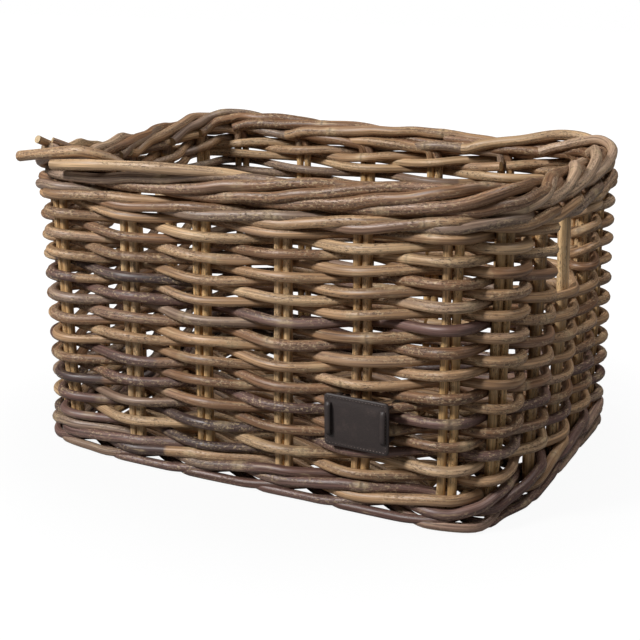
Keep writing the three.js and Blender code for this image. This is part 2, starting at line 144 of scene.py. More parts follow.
def rattan_finish(name, bark, weathering, stain):
    """Waxed rattan: a tone for each cane, fibres along it, stained and weathered stretches, patches of
    dark and pale bark flecks, and dark nodes.  The shares are those of bark, weathering and stains."""
    material, tree = new_finish(name)
    grain = Wire.node(tree, "ShaderNodeAttribute", {"attribute_name": "grain"}, output=1)
    tone = Wire.node(tree, "ShaderNodeAttribute", {"attribute_name": "cane_tone"})
    from_node = Wire.node(tree, "ShaderNodeAttribute", {"attribute_name": "from_node"}, output=2)
    cut = Wire.node(tree, "ShaderNodeAttribute", {"attribute_name": "cut_end"}, output=2)

    fibre = grain.noise((11, 700, 700), 4.0, 0.6)
    patch = grain.noise((14, 90, 90), 3.0, 0.6)
    stretch = grain.noise((5, 40, 40), 2.0, 0.5)
    fleck = grain.noise((330, 900, 900), 3.0, 0.7)
    crumb = grain.noise((420, 620, 620), 2.0, 0.6)
    scuff = grain.noise((45, 330, 330), 4.0, 0.65)

    skin = tone.mixed(STAIN, stretch.ramp(0.48, 0.72) * stain)
    skin = skin.mixed(DUSKY, (1 - stretch.ramp(0.34, 0.48)) * weathering)
    skin = skin.mixed(WEATHERED, patch.ramp(0.52, 0.75) * weathering)
    streaks = Wire.node(tree, "ShaderNodeMix", {"data_type": "RGBA"},
                        {0: fibre.ramp(0.28, 0.72), 6: DARK_FIBRE, 7: LIGHT_FIBRE}, 2)
    skin = skin.mixed(streaks, 1.0, "MULTIPLY")
    skin = skin.mixed(PALE_SKIN, scuff.ramp(0.55, 0.75) * 0.4)
    barky = patch.ramp(0.41, 0.56) * bark
    pale_crumbs = crumb.ramp(0.54, 0.64) * barky
    dark_flecks = fleck.ramp(0.53, 0.63) * barky
    skin = skin.mixed(PALE_SKIN, pale_crumbs * 0.55)
    skin = skin.mixed(BARK, dark_flecks * 0.72)
    node_line = (1 - from_node.ramp(0.0004, 0.0024)) * scuff.ramp(0.4, 0.6)
    node_band = (1 - from_node.ramp(0.002, 0.009)) * scuff.ramp(0.35, 0.6)
    skin = skin.mixed(PALE_SKIN, node_band * 0.35)
    skin = skin.mixed(BARK, node_line * 0.6)
    pores = Wire.node(tree, "ShaderNodeTexVoronoi", None, {"Vector": grain, "Scale": 1500.0})
    pith = Wire.node(tree, "ShaderNodeMix", {"data_type": "RGBA"},
                     {0: pores.ramp(0.15, 0.4), 6: PORES, 7: PITH}, 2)
    colour = skin.mixed(pith, cut)

    height = fibre * 0.5 + scuff * 0.35 + pale_crumbs * 0.4 - dark_flecks * 0.5 - node_line * 0.8
    bump = Wire.node(tree, "ShaderNodeBump", None,
                     {"Strength": 0.6, "Distance": 0.0006, "Height": height})
    shader = Wire.node(tree, "ShaderNodeBsdfPrincipled", None, {
        "Base Color": colour,
        "Roughness": scuff * 0.3 + dark_flecks * 0.2 + 0.3,
        "Normal": bump,
    })
    Wire.node(tree, "ShaderNodeOutputMaterial", None, {"Surface": shader})
    return material


def wavering(scale, amount):
    """A smooth random line made of a few waves; a function of the distance along."""
    waves = []
    for _ in range(4):
        waves.append((rng.uniform(0.6, 2.2) / scale, rng.uniform(0, 2 * math.pi), rng.uniform(0.4, 1)))
    total = sum(weight for _, _, weight in waves)
    return lambda at: amount * sum(w * np.sin(2 * math.pi * f * at + p) for f, p, w in waves) / total


NODE_SPACING = (0.11, 0.3)
FIRST_NODE_WITHIN = 0.2
NODE_SWELL = 0.05
NODE_REACH = 0.004
UNEVEN = 0.07
OVAL = 0.035
AWAY_FROM_NODES = 0.05


def cane(path, diameter, tones, sides=12, stretches=()):
    """A rod along a path, slightly uneven, with its nodes and square-cut ends.  Tones are (until, colour)
    along it, stretches are (from, to, colour) laid over them, and its diameter may change along it."""
    path = np.asarray(path)
    steps = np.linalg.norm(np.diff(path, axis=0), axis=1)
    along = np.concatenate([[0], np.cumsum(steps)])
    length = along[-1]
    tangents = np.gradient(path, axis=0)
    tangents /= np.linalg.norm(tangents, axis=1)[:, None]
    normals = np.empty_like(path)
    aside = np.cross(tangents[0], (0.31, 0.17, 0.94))
    for i, tangent in enumerate(tangents):
        aside = aside - tangent * (aside @ tangent)
        aside /= np.linalg.norm(aside)
        normals[i] = aside
    binormals = np.cross(tangents, normals)

    node_count = int(length / NODE_SPACING[0]) + 2
    nodes_at = np.cumsum(rng.uniform(*NODE_SPACING, node_count)) - rng.uniform(0, FIRST_NODE_WITHIN)
    from_node = np.abs(along[:, None] - nodes_at).min(axis=1)
    swell = NODE_SWELL * np.exp(-((from_node / NODE_REACH) ** 2))
    uneven = 1 + wavering(0.12, UNEVEN)(along) + swell
    radius = np.broadcast_to(diameter, along.shape) / 2 * uneven
    around = np.arange(sides) * 2 * math.pi / sides
    oval = 1 + OVAL * np.cos(2 * around + rng.uniform(0, 6))
    across = radius[:, None] * oval
    flat = np.stack([across * np.cos(around), across * np.sin(around)], axis=-1)
    rings = path[:, None] + flat[..., :1] * normals[:, None] + flat[..., 1:] * binormals[:, None]

    colours = np.empty((len(path), 4))
    for until, colour in reversed(tones):
        colours[along <= until] = colour
    for begin, end, colour in stretches:
        colours[(along >= begin) & (along <= end)] = colour
    start = rng.uniform(0, 50)
    distance = np.broadcast_to(along[:, None, None] + start, across.shape + (1,))
    grain = np.concatenate([distance, flat], axis=2)

    count = len(path)
    index = np.arange(count * sides).reshape(count, sides)
    turned = np.roll(index, -1, axis=1)
    quads = np.stack([index[:-1], turned[:-1], turned[1:], index[1:]], axis=-1).reshape(-1, 4)
    points = [rings.reshape(-1, 3)]
    grains = [grain.reshape(-1, 3)]
    tints = [np.repeat(colours, sides, axis=0)]
    nearest = [np.repeat(from_node, sides)]
    cuts = [np.zeros(count * sides)]
    fans = []
    top = count * sides
    for end, order in ((0, -1), (count - 1, 1)):
        points += [rings[end], path[end : end + 1]]
        grains += [grain[end], np.array([[along[end] + start, 0, 0]])]
        tints.append(np.repeat(colours[end : end + 1], sides + 1, axis=0))
        nearest.append(np.full(sides + 1, AWAY_FROM_NODES))
        cuts.append(np.ones(sides + 1))
        ring = top + np.arange(sides)
        fan = np.stack([ring, np.roll(ring, -1), np.full(sides, top + sides)], axis=-1)
        fans.append(fan[:, ::order])
        top += sides + 1
    return {
        "points": np.concatenate(points), "quads": quads, "fans": np.concatenate(fans),
        "grain": np.concatenate(grains), "tone": np.concatenate(tints),
        "from_node": np.concatenate(nearest), "cut": np.concatenate(cuts),
        "along": along, "round": 2 * math.pi * radius.mean(), "sides": sides,
    }


def strip_map(canes):
    """A flat layout of the canes' skins, in strips of one length, with the cut ends in a last row."""
    margin = 0.06
    width = 1 - 2 * margin
    total = sum(c["along"][-1] for c in canes)
    strip = math.sqrt(total * canes[0]["round"]) + 0.01
    page = strip * 1.03
    rows = sum(int(c["along"][-1] / strip) + 1 for c in canes) + 1
    row = 0
    skins = []
    ends = []
    for number, c in enumerate(canes):
        sides = c["sides"]
        at = c["along"]
        fold = (at[:-1] / strip).astype(int)
        left = (at[:-1] - fold * strip) / page
        right = (at[1:] - fold * strip) / page
        v = np.arange(sides)
        low = (row + fold[:, None] + margin + width * v / sides) / rows
        high = (row + fold[:, None] + margin + width * (v + 1) / sides) / rows
        left, right = (np.repeat(u[:, None], sides, axis=1) for u in (left, right))
        corners = [(left, low), (left, high), (right, high), (right, low)]
        skins.append(np.stack([np.stack(c, axis=-1) for c in corners], axis=2).reshape(-1, 2))
        row += int(at[-1] / strip) + 1
        for end in range(2):
            middle = np.array([(2 * number + end + 0.5) / (2 * len(canes)), (rows - 0.5) / rows])
            reach = 0.4 * min(1 / rows, 0.5 / len(canes))
            turn = np.arange(sides + 1) * 2 * math.pi / sides
            rim = middle + reach * np.stack([np.cos(turn), np.sin(turn)], axis=-1)
            fan = np.stack([rim[:-1], rim[1:], np.broadcast_to(middle, (sides, 2))], axis=1)
            ends.append((fan if end else fan[:, ::-1]).reshape(-1, 2))
    return skins, ends


def rattan_piece(name, canes, material, slot, *nodes):
    """One named piece of one or more canes, which stands for CAD nodes."""
    skins, ends = strip_map(canes)
    faces = []
    layout = []
    offset = 0
    for number, c in enumerate(canes):
        faces += (c["quads"] + offset).tolist() + (c["fans"] + offset).tolist()
        layout += [skins[number], ends[2 * number], ends[2 * number + 1]]
        offset += len(c["points"])
    mesh = bpy.data.meshes.new(name)
    mesh.from_pydata(np.concatenate([c["points"] for c in canes]).tolist(), [], faces)
    mesh.polygons.foreach_set("use_smooth", np.ones(len(faces), bool))
    for key, attribute, kind, field in (
        ("grain", "grain", "FLOAT_VECTOR", "vector"),
        ("tone", "cane_tone", "FLOAT_COLOR", "color"),
        ("from_node", "from_node", "FLOAT", "value"),
        ("cut", "cut_end", "FLOAT", "value"),
    ):
        values = np.concatenate([c[key] for c in canes])
        mesh.attributes.new(attribute, kind, "POINT").data.foreach_set(field, values.ravel())
    mesh.uv_layers.new(name="OFBake").data.foreach_set("uv", np.concatenate(layout).ravel())
    mesh.materials.append(material)
    mesh.update()
    made = bpy.data.objects.new(name, mesh)
    bpy.context.collection.objects.link(made)
    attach(made, "root")
    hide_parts(*nodes)


def straight(start, end, bow=0.001, step=0.005):
    """A path from one point to another that bows a little, as a rod does."""
    start, end = np.array(start), np.array(end)
    share = np.linspace(0, 1, int(np.linalg.norm(end - start) / step) + 2)[:, None]
    aside = np.array([bow, 0, 0]) * np.sin(math.pi * share) * rng.uniform(-1, 1)
    return start + (end - start) * share + aside


OLIVE = [linear(c) for c in ((0.80, 0.66, 0.46), (0.74, 0.60, 0.42), (0.84, 0.71, 0.53))]
TO_THE_END = 99.0
stake_finish = rattan_finish("stake_rattan", 0.95, 0.3, 0.45)


def one_tone(palette):
    """One of a palette's colours for a whole cane."""
    return [(TO_THE_END, palette[rng.integers(len(palette))])]


def base_stick(name, x, reach, node):
    """One stick of the base, from front to back."""
    rod = cane(straight((x, -reach, STICK_Z), (x, reach, STICK_Z)), STICK_D, one_tone(OLIVE))
    rattan_piece(name, [rod], stake_finish, "stake_rattan", node)


for number, x in enumerate(STICK_X, 1):
    base_stick(f"base_stick_rod_{number}", x, STICK_HALF_LENGTH, f"base_stick_{number}")
for side, x in (("left", -END_STICK_X), ("right", END_STICK_X)):
    base_stick(f"base_end_rod_{side}", x, END_STICK_HALF_LENGTH, f"base_end_stick_{side}")

# Base weave
# Doubled rattan strands, two side by side, that go to and fro over and under the sticks.
# The long one turns back round the end sticks; a short pair closes the base along each long side.
BASE_ROD_D = 0.0077
BASE_PITCH = 0.0182
BASE_PASSES = 13
BASE_WAVE = 0.0079
BASE_ROD_GAP = 0.0004
BASE_STRAND_LENGTH = 5.5
EDGE_ROW_REACH = 0.157
EDGE_ROW_LENGTH = 0.4

TAN = linear((0.66, 0.53, 0.40))
STRAW = linear((0.74, 0.62, 0.48))
BROWN = linear((0.53, 0.40, 0.295))
GREY = linear((0.54, 0.455, 0.39))
MAUVE = linear((0.60, 0.49, 0.43))
PLUM = linear((0.41, 0.31, 0.285))
DARK = linear((0.29, 0.225, 0.215))
BASE_TONES = ([TAN, BROWN, GREY, STRAW], [0.4, 0.25, 0.2, 0.15])

weaver_finish = rattan_finish("weaver_rattan", 1.0, 0.45, 0.6)


def through(stations, values, at):
    """Smooth values through stations that don't overshoot: level at each crest, sloping on the way."""
    stations, values = np.asarray(stations, float), np.asarray(values, float)
    gaps = np.diff(stations)
    slopes = np.diff(values) / gaps
    same = slopes[:-1] * slopes[1:] > 0
    mean = np.zeros(len(values))
    inner = 2 * slopes[:-1] * slopes[1:] / np.where(same, slopes[:-1] + slopes[1:], 1)
    mean[1:-1] = np.where(same, inner, 0)
    i = np.clip(np.searchsorted(stations, at, side="right") - 1, 0, len(gaps) - 1)
    t = (at - stations[i]) / gaps[i]
    rise = gaps[i] * (mean[i] * t * (1 - t) ** 2 - mean[i + 1] * t**2 * (1 - t))
    return values[i] + (values[i + 1] - values[i]) * t**2 * (3 - 2 * t) + rise


def mixed_tones(length, palette, weights, shortest=0.3, longest=0.85):
    """A strand is pieced together from canes of different tones: random stretches along it."""
    tones = []
    until = 0.0
    while until < length:
        until += rng.uniform(shortest, longest)
        tones.append((until, palette[rng.choice(len(palette), p=weights)]))
    tones[-1] = (TO_THE_END, tones[-1][1])
    return tones


def base_run(xs, y, starts):
    """One pass over and under the sticks at xs, from over (1) or under (-1) the first one."""
    at = np.arange(xs[0], xs[-1] + 1e-6, 0.004)
    heights = [STICK_Z + starts * (-1) ** i * BASE_WAVE for i in range(len(xs))]
    z = through(xs, heights, at)
    return np.stack([at, np.full(len(at), y), z], axis=-1)


crossings = [-END_STICK_X, *STICK_X, END_STICK_X]
passes = []
for row in range(BASE_PASSES):
    y = (row - (BASE_PASSES - 1) / 2) * BASE_PITCH
    run = base_run(crossings, y, (-1) ** row)
    if row % 2:
        run = run[::-1]
    passes.append(run)
    if row < BASE_PASSES - 1:
        end = run[-1]
        turn = np.linspace(0, math.pi, 9)[1:-1]
        over = np.sign(end[2] - STICK_Z)
        passes.append(np.stack([
            end[0] + np.sign(end[0]) * BASE_WAVE * np.sin(turn),
            y + BASE_PITCH * (0.5 - 0.5 * np.cos(turn)),
            STICK_Z + over * BASE_WAVE * np.cos(turn),
        ], axis=-1))
base_path = np.concatenate(passes)
aside = (BASE_ROD_D + BASE_ROD_GAP) / 2
rods = []
for side in (-1, 1):
    shifted = base_path + np.array([0, side * aside, 0])
    rods.append(cane(shifted, BASE_ROD_D, mixed_tones(BASE_STRAND_LENGTH, *BASE_TONES), 10))
rattan_piece("base_weave", rods, weaver_finish, "weaver_rattan", "base_strand")

edge_xs = [-EDGE_ROW_REACH, *STICK_X, EDGE_ROW_REACH]
for name, side in (("front", -1), ("back", 1)):
    rods = []
    for beside in (-1, 1):
        y = side * (BASE_PASSES + 1) * BASE_PITCH / 2 + beside * aside
        run = base_run(edge_xs, y, -1)
        rods.append(cane(run, BASE_ROD_D, mixed_tones(EDGE_ROW_LENGTH, *BASE_TONES), 10))
    rattan_piece(f"base_edge_weave_{name}", rods, weaver_finish, "weaver_rattan",
                 f"base_edge_strand_{name}")

# Stakes and rolled border
# Each upright is one rattan rod bent double at the foot, its two legs side by side.  At the rim both lean
# over to the right: the left one is the border's core, the right one winds over the core to the inside.
WALL_LENGTH = 0.424
WALL_WIDTH = 0.302
CORNER_RADIUS = 0.05
CORNER_LIFT = 0.009
LONG_SIDE_PAIRS = 6
LONG_SIDE_PITCH = 0.072
SHORT_SIDE_PAIRS = 5
SHORT_SIDE_PITCH = 0.059
LEG_D = 0.0075
LEG_OFFSET = 0.00415
STAKE_FOOT_Z = 0.0092
BORDER_Z = 0.2455
BORDER_RADIUS = 0.0085
BORDER_ROD_D = 0.0092
RIM_BEND = 0.009
LEG_TOP = BORDER_Z - BORDER_RADIUS - RIM_BEND
SWELL_FROM_Z = 0.22
SWELL_HEIGHT = 0.015
# How a pair's rods wind round the rim: pitches along, degrees round from the outside, share of the radius
RIGHT_ROD_WINDING = [
    (0.06, -105, 0.97), (0.5, -135, 0.9), (1.0, -140, 0.7), (1.4, -96, 0.75), (1.7, -80, 0.98),
    (2.2, -52, 1.04), (2.8, -20, 1.03), (3.3, 9, 1.0), (3.7, 34, 1.02), (4.0, 58, 1.02),
    (4.3, 86, 1.03), (4.6, 113, 1.02), (5.0, 138, 1.0), (5.5, 157, 0.97), (5.9, 184, 1.05),
    (6.2, 212, 1.3),
]
LEFT_ROD_WINDING = [
    (0.02, -100, 0.8), (0.5, -120, 0.4), (1.0, -60, 0.3), (1.5, 30, 0.36), (2.0, 110, 0.36),
]
# The rods that come over the short ends wind more quickly from here on, and are greyer
QUICK_FROM = 1.4
QUICK_SHARE = 0.65
QUICK_PAIRS = range(LONG_SIDE_PAIRS - 2, LONG_SIDE_PAIRS + SHORT_SIDE_PAIRS - 2)
END_STRAY = 0.12
# How the hand-made wall strays, as waves: size, waves round the wall, turn with the height, shift
SWAY = [(0.0011, 5, 30, 0), (0.0008, 13, -44, 1.1)]
BULGE = [(0.0012, 3, 17, 0.6)]
ROWS_LIFT = 0.0025
# The rows' climb round the front right corner and the foot's dents: size, place along, spread
CLIMB = (0.0095, 0.2, 0.09)
CLIMB_BY_HEIGHT = ([0.014, 0.036, 0.15, 0.224, 0.24], [0, 1, 1, 0.65, 0])
DENTS = [(0.004, 0.197, 0.014), (-0.009, 0.226, 0.022), (-0.007, -0.17, 0.03)]
DENTS_BY_HEIGHT = ([0, 0.02, 0.07], [1, 0.8, 0])
# How far some pairs stand aside
ASTRAY = {2: -0.002, 4: -0.004, 5: -0.0045, 6: -0.009, 7: -0.005, 8: -0.002}
ASH = linear((0.71, 0.60, 0.50))
RIM_TONES = [STRAW, TAN, TAN, BROWN, BROWN, GREY]
END_RIM_TONES = [ASH, ASH, MAUVE, MAUVE, STRAW, GREY]

RUN_X = WALL_LENGTH - 2 * CORNER_RADIUS
RUN_Y = WALL_WIDTH - 2 * CORNER_RADIUS
ARC = math.pi / 2 * CORNER_RADIUS
PERIMETER = 2 * (RUN_X + RUN_Y) + 4 * ARC


def wall_at(s):
    """The wall's middle line at distances s from mid front, anticlockwise: points and outward ways."""
    left = np.mod(np.asarray(s, float) + RUN_X / 2, PERIMETER)
    point = np.zeros(left.shape + (2,))
    out = np.zeros(left.shape + (2,))
    start = 0.0
    for side in range(4):
        run = RUN_Y if side % 2 else RUN_X
        here = (left >= start) & (left < start + run + ARC)
        past = left[here] - start
        facing = (side - 1) * math.pi / 2
        depth = (WALL_LENGTH if side % 2 else WALL_WIDTH) / 2 - CORNER_RADIUS
        beside = np.minimum(past, run) - run / 2
        turned = facing + np.maximum(0, past - run) / CORNER_RADIUS
        out[here] = np.stack([np.cos(turned), np.sin(turned)], axis=-1)
        hub_x = depth * math.cos(facing) - beside * math.sin(facing)
        hub_y = depth * math.sin(facing) + beside * math.cos(facing)
        point[here] = np.stack([hub_x, hub_y], axis=-1) + CORNER_RADIUS * out[here]
        start += run + ARC
    return point, out


def near(s, size, centre, spread):
    """A size at a place along the wall, and less and less away from it."""
    off = np.mod(s - centre + PERIMETER / 2, PERIMETER) - PERIMETER / 2
    return size * np.exp(-((off / spread) ** 2))


def rippled(waves, round_wall, z):
    """Waves that run round the wall and turn with the height."""
    return sum(size * np.sin(turns * round_wall + up * z + shift) for size, turns, up, shift in waves)


def place(s, n, z):
    """Points at s along the wall, n outside its middle line and z up.  The rim rises towards the corners.
    The wall is hand-made: it wavers between foot and rim, the rows climb round the front right corner,
    and the foot is dented beside the front corners."""
    s, n, z = np.broadcast_arrays(np.asarray(s, float), n, z)
    point, out = wall_at(s)
    corner = 4 * point[:, 0] * point[:, 1] / (WALL_LENGTH * WALL_WIDTH)
    lift = CORNER_LIFT * corner**2 * (z / BORDER_Z) ** 2
    loose = np.sin(math.pi * np.clip(z / BORDER_Z, 0, 1))
    round_wall = 2 * math.pi * s / PERIMETER
    climb = near(s, *CLIMB) * np.interp(z, *CLIMB_BY_HEIGHT)
    dent = sum(near(s, *dent) for dent in DENTS) * np.interp(z, *DENTS_BY_HEIGHT)
    aside = n + dent + loose * rippled(BULGE, round_wall, z)
    up = z + lift + climb + loose * (rippled(SWAY, round_wall, z) + ROWS_LIFT)
    return np.column_stack([point + aside[:, None] * out, up])


pair_places = []
for side in range(4):
    count = SHORT_SIDE_PAIRS if side % 2 else LONG_SIDE_PAIRS
    pitch = SHORT_SIDE_PITCH if side % 2 else LONG_SIDE_PITCH
    for i in range(count):
        pair_places.append(side * PERIMETER / 4 + (i - (count - 1) / 2) * pitch)
for k, astray in ASTRAY.items():
    pair_places[k] += astray
PAIR_COUNT = len(pair_places)


def pair_s(at):
    """Where pair number at stands along the wall; a part of a number lies between two pairs."""
    whole = np.floor(at).astype(int)
    low = np.take(pair_places, whole % PAIR_COUNT) + PERIMETER * (whole // PAIR_COUNT)
    high = np.take(pair_places, (whole + 1) % PAIR_COUNT) + PERIMETER * ((whole + 1) // PAIR_COUNT)
    return low + (high - low) * (at - whole)


def over_an_end(k):
    """Whether pair k's rods come over a short end."""
    return k % (PAIR_COUNT // 2) in QUICK_PAIRS


def eased(points, reach, step=0.003):
    """A path of close, even steps with its sharp turns drawn round."""
    steps = np.linalg.norm(np.diff(points, axis=0), axis=1)
    along = np.concatenate([[0], np.cumsum(steps)])
    even = np.linspace(0, along[-1], int(along[-1] / step) + 2)
    path = np.stack([np.interp(even, along, points[:, i]) for i in range(3)], axis=-1)
    span = max(1, int(reach / step))
    weights = np.hanning(2 * span + 3)[1:-1]
    weights /= weights.sum()
    before = 2 * path[0] - path[span:0:-1]
    after = 2 * path[-1] - path[-2 : -2 - span : -1]
    padded = np.concatenate([before, path, after])
    return np.stack([np.convolve(padded[:, i], weights, "valid") for i in range(3)], axis=-1)


def stake_leg(k, side):
    """The path of one leg of pair k: from the foot up, behind the next pair, over the rim and to its
    end inside."""
    stations, degrees, shares = np.array(RIGHT_ROD_WINDING if side > 0 else LEFT_ROD_WINDING).T
    if over_an_end(k):
        quick = QUICK_FROM + QUICK_SHARE * (stations - QUICK_FROM)
        stations = np.where(stations < QUICK_FROM, stations, quick)
    at = np.arange(stations[0], stations[-1] + rng.uniform(-END_STRAY, END_STRAY), 0.05)
    angle = np.radians(through(stations, degrees, at)) + wavering(1.3, 0.16)(at)
    reach = BORDER_RADIUS * (through(stations, shares, at) + wavering(1.2, 0.07)(at))
    s = pair_s(k)
    heights = np.linspace(STAKE_FOOT_Z, LEG_TOP, 40)
    lean = wavering(0.2, 0.0007)(heights)
    legs = place(s + side * LEG_OFFSET + lean, wavering(0.2, 0.0005)(heights), heights)
    border = place(pair_s(k + at), reach * np.cos(angle), BORDER_Z + reach * np.sin(angle))
    return eased(np.concatenate([legs, border]), RIM_BEND)


for k in range(PAIR_COUNT):
    left, right = stake_leg(k, -1), stake_leg(k, 1)
    turn = np.linspace(0, math.pi, 9)[1:-1]
    foot_s = pair_s(k) - LEG_OFFSET * np.cos(turn)
    bend = place(foot_s, 0, STAKE_FOOT_Z - LEG_OFFSET * np.sin(turn))
    path = np.concatenate([left[::-1], bend, right])
    swell = np.clip((right[:, 2] - SWELL_FROM_Z) / SWELL_HEIGHT, 0, 1)
    thick = np.full(len(path), LEG_D)
    thick[-len(right):] += (BORDER_ROD_D - LEG_D) * swell
    steps = np.linalg.norm(np.diff(path, axis=0), axis=1)
    # The core's stretch, from its end inside the rolled border down to the top of the leg, is painted
    # darker brown: painted shade where the winding rod covers it.
    core = steps[: np.argmax(path[:, 2] < LEG_TOP)].sum()
    to_rim = steps[: len(path) - len(right) + np.argmax(right[:, 2] > LEG_TOP)].sum()
    rim_tones = END_RIM_TONES if over_an_end(k) else RIM_TONES
    tones = [(core, BROWN), (to_rim, OLIVE[rng.integers(len(OLIVE))])] + one_tone(rim_tones)
    rod = cane(path, thick * rng.uniform(0.95, 1.06), tones)
    rattan_piece(f"stake_{k + 1:02d}", [rod], stake_finish, "stake_rattan", f"stake_pair_{k + 1:02d}")

# Foot
# Three rattan rods woven round the stakes' feet, which carry the basket.  Each comes out low, passes
# outside two pairs, rises over the next rod and goes inside one; small gaps stay under the bottom wale.
FOOT_D = 0.0076
WEAVE_OFFSET = 0.0092
END_GAP = 0.0015
ROUND_LENGTH = 1.6
# One stroke: pitches from the first outside pair, share of the weave's offset, height
FOOT_STROKE = [
    (-0.5, 0, 0.0052), (-0.15, 1, 0.0042), (0.5, 1, 0.0044), (0.95, 0.85, 0.008),
    (1.25, 0.3, 0.011), (1.5, -0.5, 0.0125), (2.0, -1, 0.0115),
]
BACK_START = LONG_SIDE_PAIRS + SHORT_SIDE_PAIRS + 1

dark_finish = rattan_finish("dark_rattan", 0.7, 0.35, 0.5)


def waled(rod, stroke, offset, start, step=0.004):
    """One of three rods that go round alike, each a pair behind the last; a stroke is three pairs long."""
    stations = []
    for turn in range(-2, PAIR_COUNT // 3 + 2):
        stations += [(pair_s(start + rod + 3 * turn + at), share * offset, z) for at, share, z in stroke]
    along, n, z = np.array(stations).T
    s = np.arange(pair_s(start) + END_GAP, pair_s(start + PAIR_COUNT) - END_GAP, step)
    return place(s, through(along, n, s), through(along, z, s))


rods = []
for rod in range(3):
    tones = mixed_tones(ROUND_LENGTH, [MAUVE, PLUM, TAN, GREY], [0.35, 0.2, 0.2, 0.25])
    rods.append(cane(waled(rod, FOOT_STROKE, WEAVE_OFFSET, BACK_START + 2), FOOT_D, tones))
rattan_piece("foot_border", rods, dark_finish, "dark_rattan", "foot_ring")

# Bottom wale
# Three stout, dark rattan rods waled round all the stakes just over the foot, to set their spacing.
# Each passes outside two pairs, rising, and then inside one.
BOTTOM_WALE_Z = 0.0140
BOTTOM_WALE_RISE = 0.0076
BOTTOM_WALE_OFFSET = WEAVE_OFFSET + 0.0004
WALE_D = 0.0088
WALE_TONES = ([DARK, PLUM, MAUVE, GREY, TAN], [0.15, 0.2, 0.35, 0.15, 0.15])


def wale_stroke(low, rise):
    """A wale's stroke: pitches from the first outside pair, share of the weave's offset, height."""
    middle, high = low + rise / 2, low + rise
    return [(0, 1, low), (0.5, 1, middle), (1, 1, high), (1.5, 0, high), (2, -1, middle), (2.5, 0, low)]


for rod in range(3):
    tones = mixed_tones(ROUND_LENGTH, *WALE_TONES)
    path = waled(rod, wale_stroke(BOTTOM_WALE_Z, BOTTOM_WALE_RISE), BOTTOM_WALE_OFFSET, BACK_START)
    rattan_piece(f"bottom_wale_{rod + 1}", [cane(path, WALE_D, tones)], dark_finish, "dark_rattan",
                 f"bottom_wale_rod_{rod + 1}")

# Plain rows
# Single rattan strands woven in front of one pair and behind the next, each once round the basket.
# Neighbouring rows pass the other way, and each one's two ends butt inside the back.
FIRST_ROW_Z = 0.03007
ROW_PITCH = 0.0088
PLAIN_ROWS = 15
ROW_D = 0.0085
ROW_TONES = [STRAW, TAN, BROWN, GREY, PLUM, DARK]
ROW_WEIGHTS = [0.2, 0.34, 0.2, 0.14, 0.08, 0.04]
LOW_ROWS = 3
LOW_ROW_WEIGHTS = [0.1, 0.16, 0.2, 0.2, 0.2, 0.14]
# A woven strand's length for each length of wall
WEAVE_IN = 1.04
# Stretches of darker cane in the front: row, from pair, to pair, tone
DARK_STRETCHES = [
    (0, -0.5, 0.8, PLUM), (0, 1.4, 2.9, DARK), (2, -0.6, 0.7, PLUM), (2, 1.4, 2.9, DARK),
    (4, -0.6, 0.6, DARK), (13, 4.3, 5.7, PLUM), (14, -0.5, 0.4, PLUM), (15, -0.3, 1.9, DARK),
]


def plain_side(row, k):
    """1 where a row passes outside pair k, and -1 where it passes inside."""
    return 1 if (row + k) % 2 == 0 else -1


def plain_run(row, first, last, z):
    """A run of plain weave from pair to pair: distances along, out and up."""
    stations = [(pair_s(k), plain_side(row, k) * WEAVE_OFFSET) for k in range(first, last + 1)]
    stations = np.array(stations)
    s = np.linspace(stations[0, 0], stations[-1, 0], int((stations[-1, 0] - stations[0, 0]) / 0.004))
    n = through(stations[:, 0], stations[:, 1], s)
    return np.stack([s, n, z + wavering(0.3, 0.0008)(s)], axis=-1)


def dark_stretches(row, start):
    """A row's darker stretches, as distances from the pair where its strand starts."""
    return [(WEAVE_IN * (pair_s(a) - pair_s(start)), WEAVE_IN * (pair_s(b) - pair_s(start)), tone)
            for at_row, a, b, tone in DARK_STRETCHES if at_row == row]


for row in range(PLAIN_ROWS):
    wanted = BACK_START + 2 * (row // 2 % 2)
    start = wanted if plain_side(row, wanted) < 0 else wanted + 1
    run = plain_run(row, start, start + PAIR_COUNT, FIRST_ROW_Z + row * ROW_PITCH)
    run[0, 0] += END_GAP
    run[-1, 0] -= END_GAP
    tones = mixed_tones(ROUND_LENGTH, ROW_TONES, LOW_ROW_WEIGHTS if row < LOW_ROWS else ROW_WEIGHTS)
    thick = ROW_D * rng.uniform(0.93, 1.05)
    rod = cane(place(*run.T), thick, tones, stretches=dark_stretches(row, start - PAIR_COUNT))
    rattan_piece(f"row_{row + 1:02d}", [rod], weaver_finish, "weaver_rattan", f"weaver_row_{row + 1:02d}")

# Panels beside the hand holes
# One rattan strand in front and one at the back, woven to and fro between the holes in the two ends.
# At each hole the strand turns back round the last pair, which makes the hole's upright edge.
FIRST_HOLE_ROW_Z = 0.16207
HOLE_ROWS = 7
HOLE_ROW_D = ROW_D * 0.98
JAMB_REACH = WEAVE_OFFSET * 0.92
JAMB_EASE = 0.004
PANEL_LENGTH = 4.5
PANEL_TONES = ([STRAW, TAN, BROWN, GREY, PLUM], [0.2, 0.35, 0.22, 0.15, 0.08])
RIGHT_MIDDLE = LONG_SIDE_PAIRS + (SHORT_SIDE_PAIRS - 1) // 2
LEFT_MIDDLE = RIGHT_MIDDLE + PAIR_COUNT // 2


def jamb_turn(row, pair, onward, z, rise):
    """The strand's half turn round the pair beside a hole, from the row's side to the other."""
    turn = np.linspace(0, math.pi, 12)[1:-1]
    return np.stack([
        pair_s(pair) + onward * (LEG_OFFSET + JAMB_REACH * np.sin(turn)),
        plain_side(row, pair) * WEAVE_OFFSET * np.cos(turn),
        z + rise * (0.5 - 0.5 * np.cos(turn)),
    ], axis=-1)


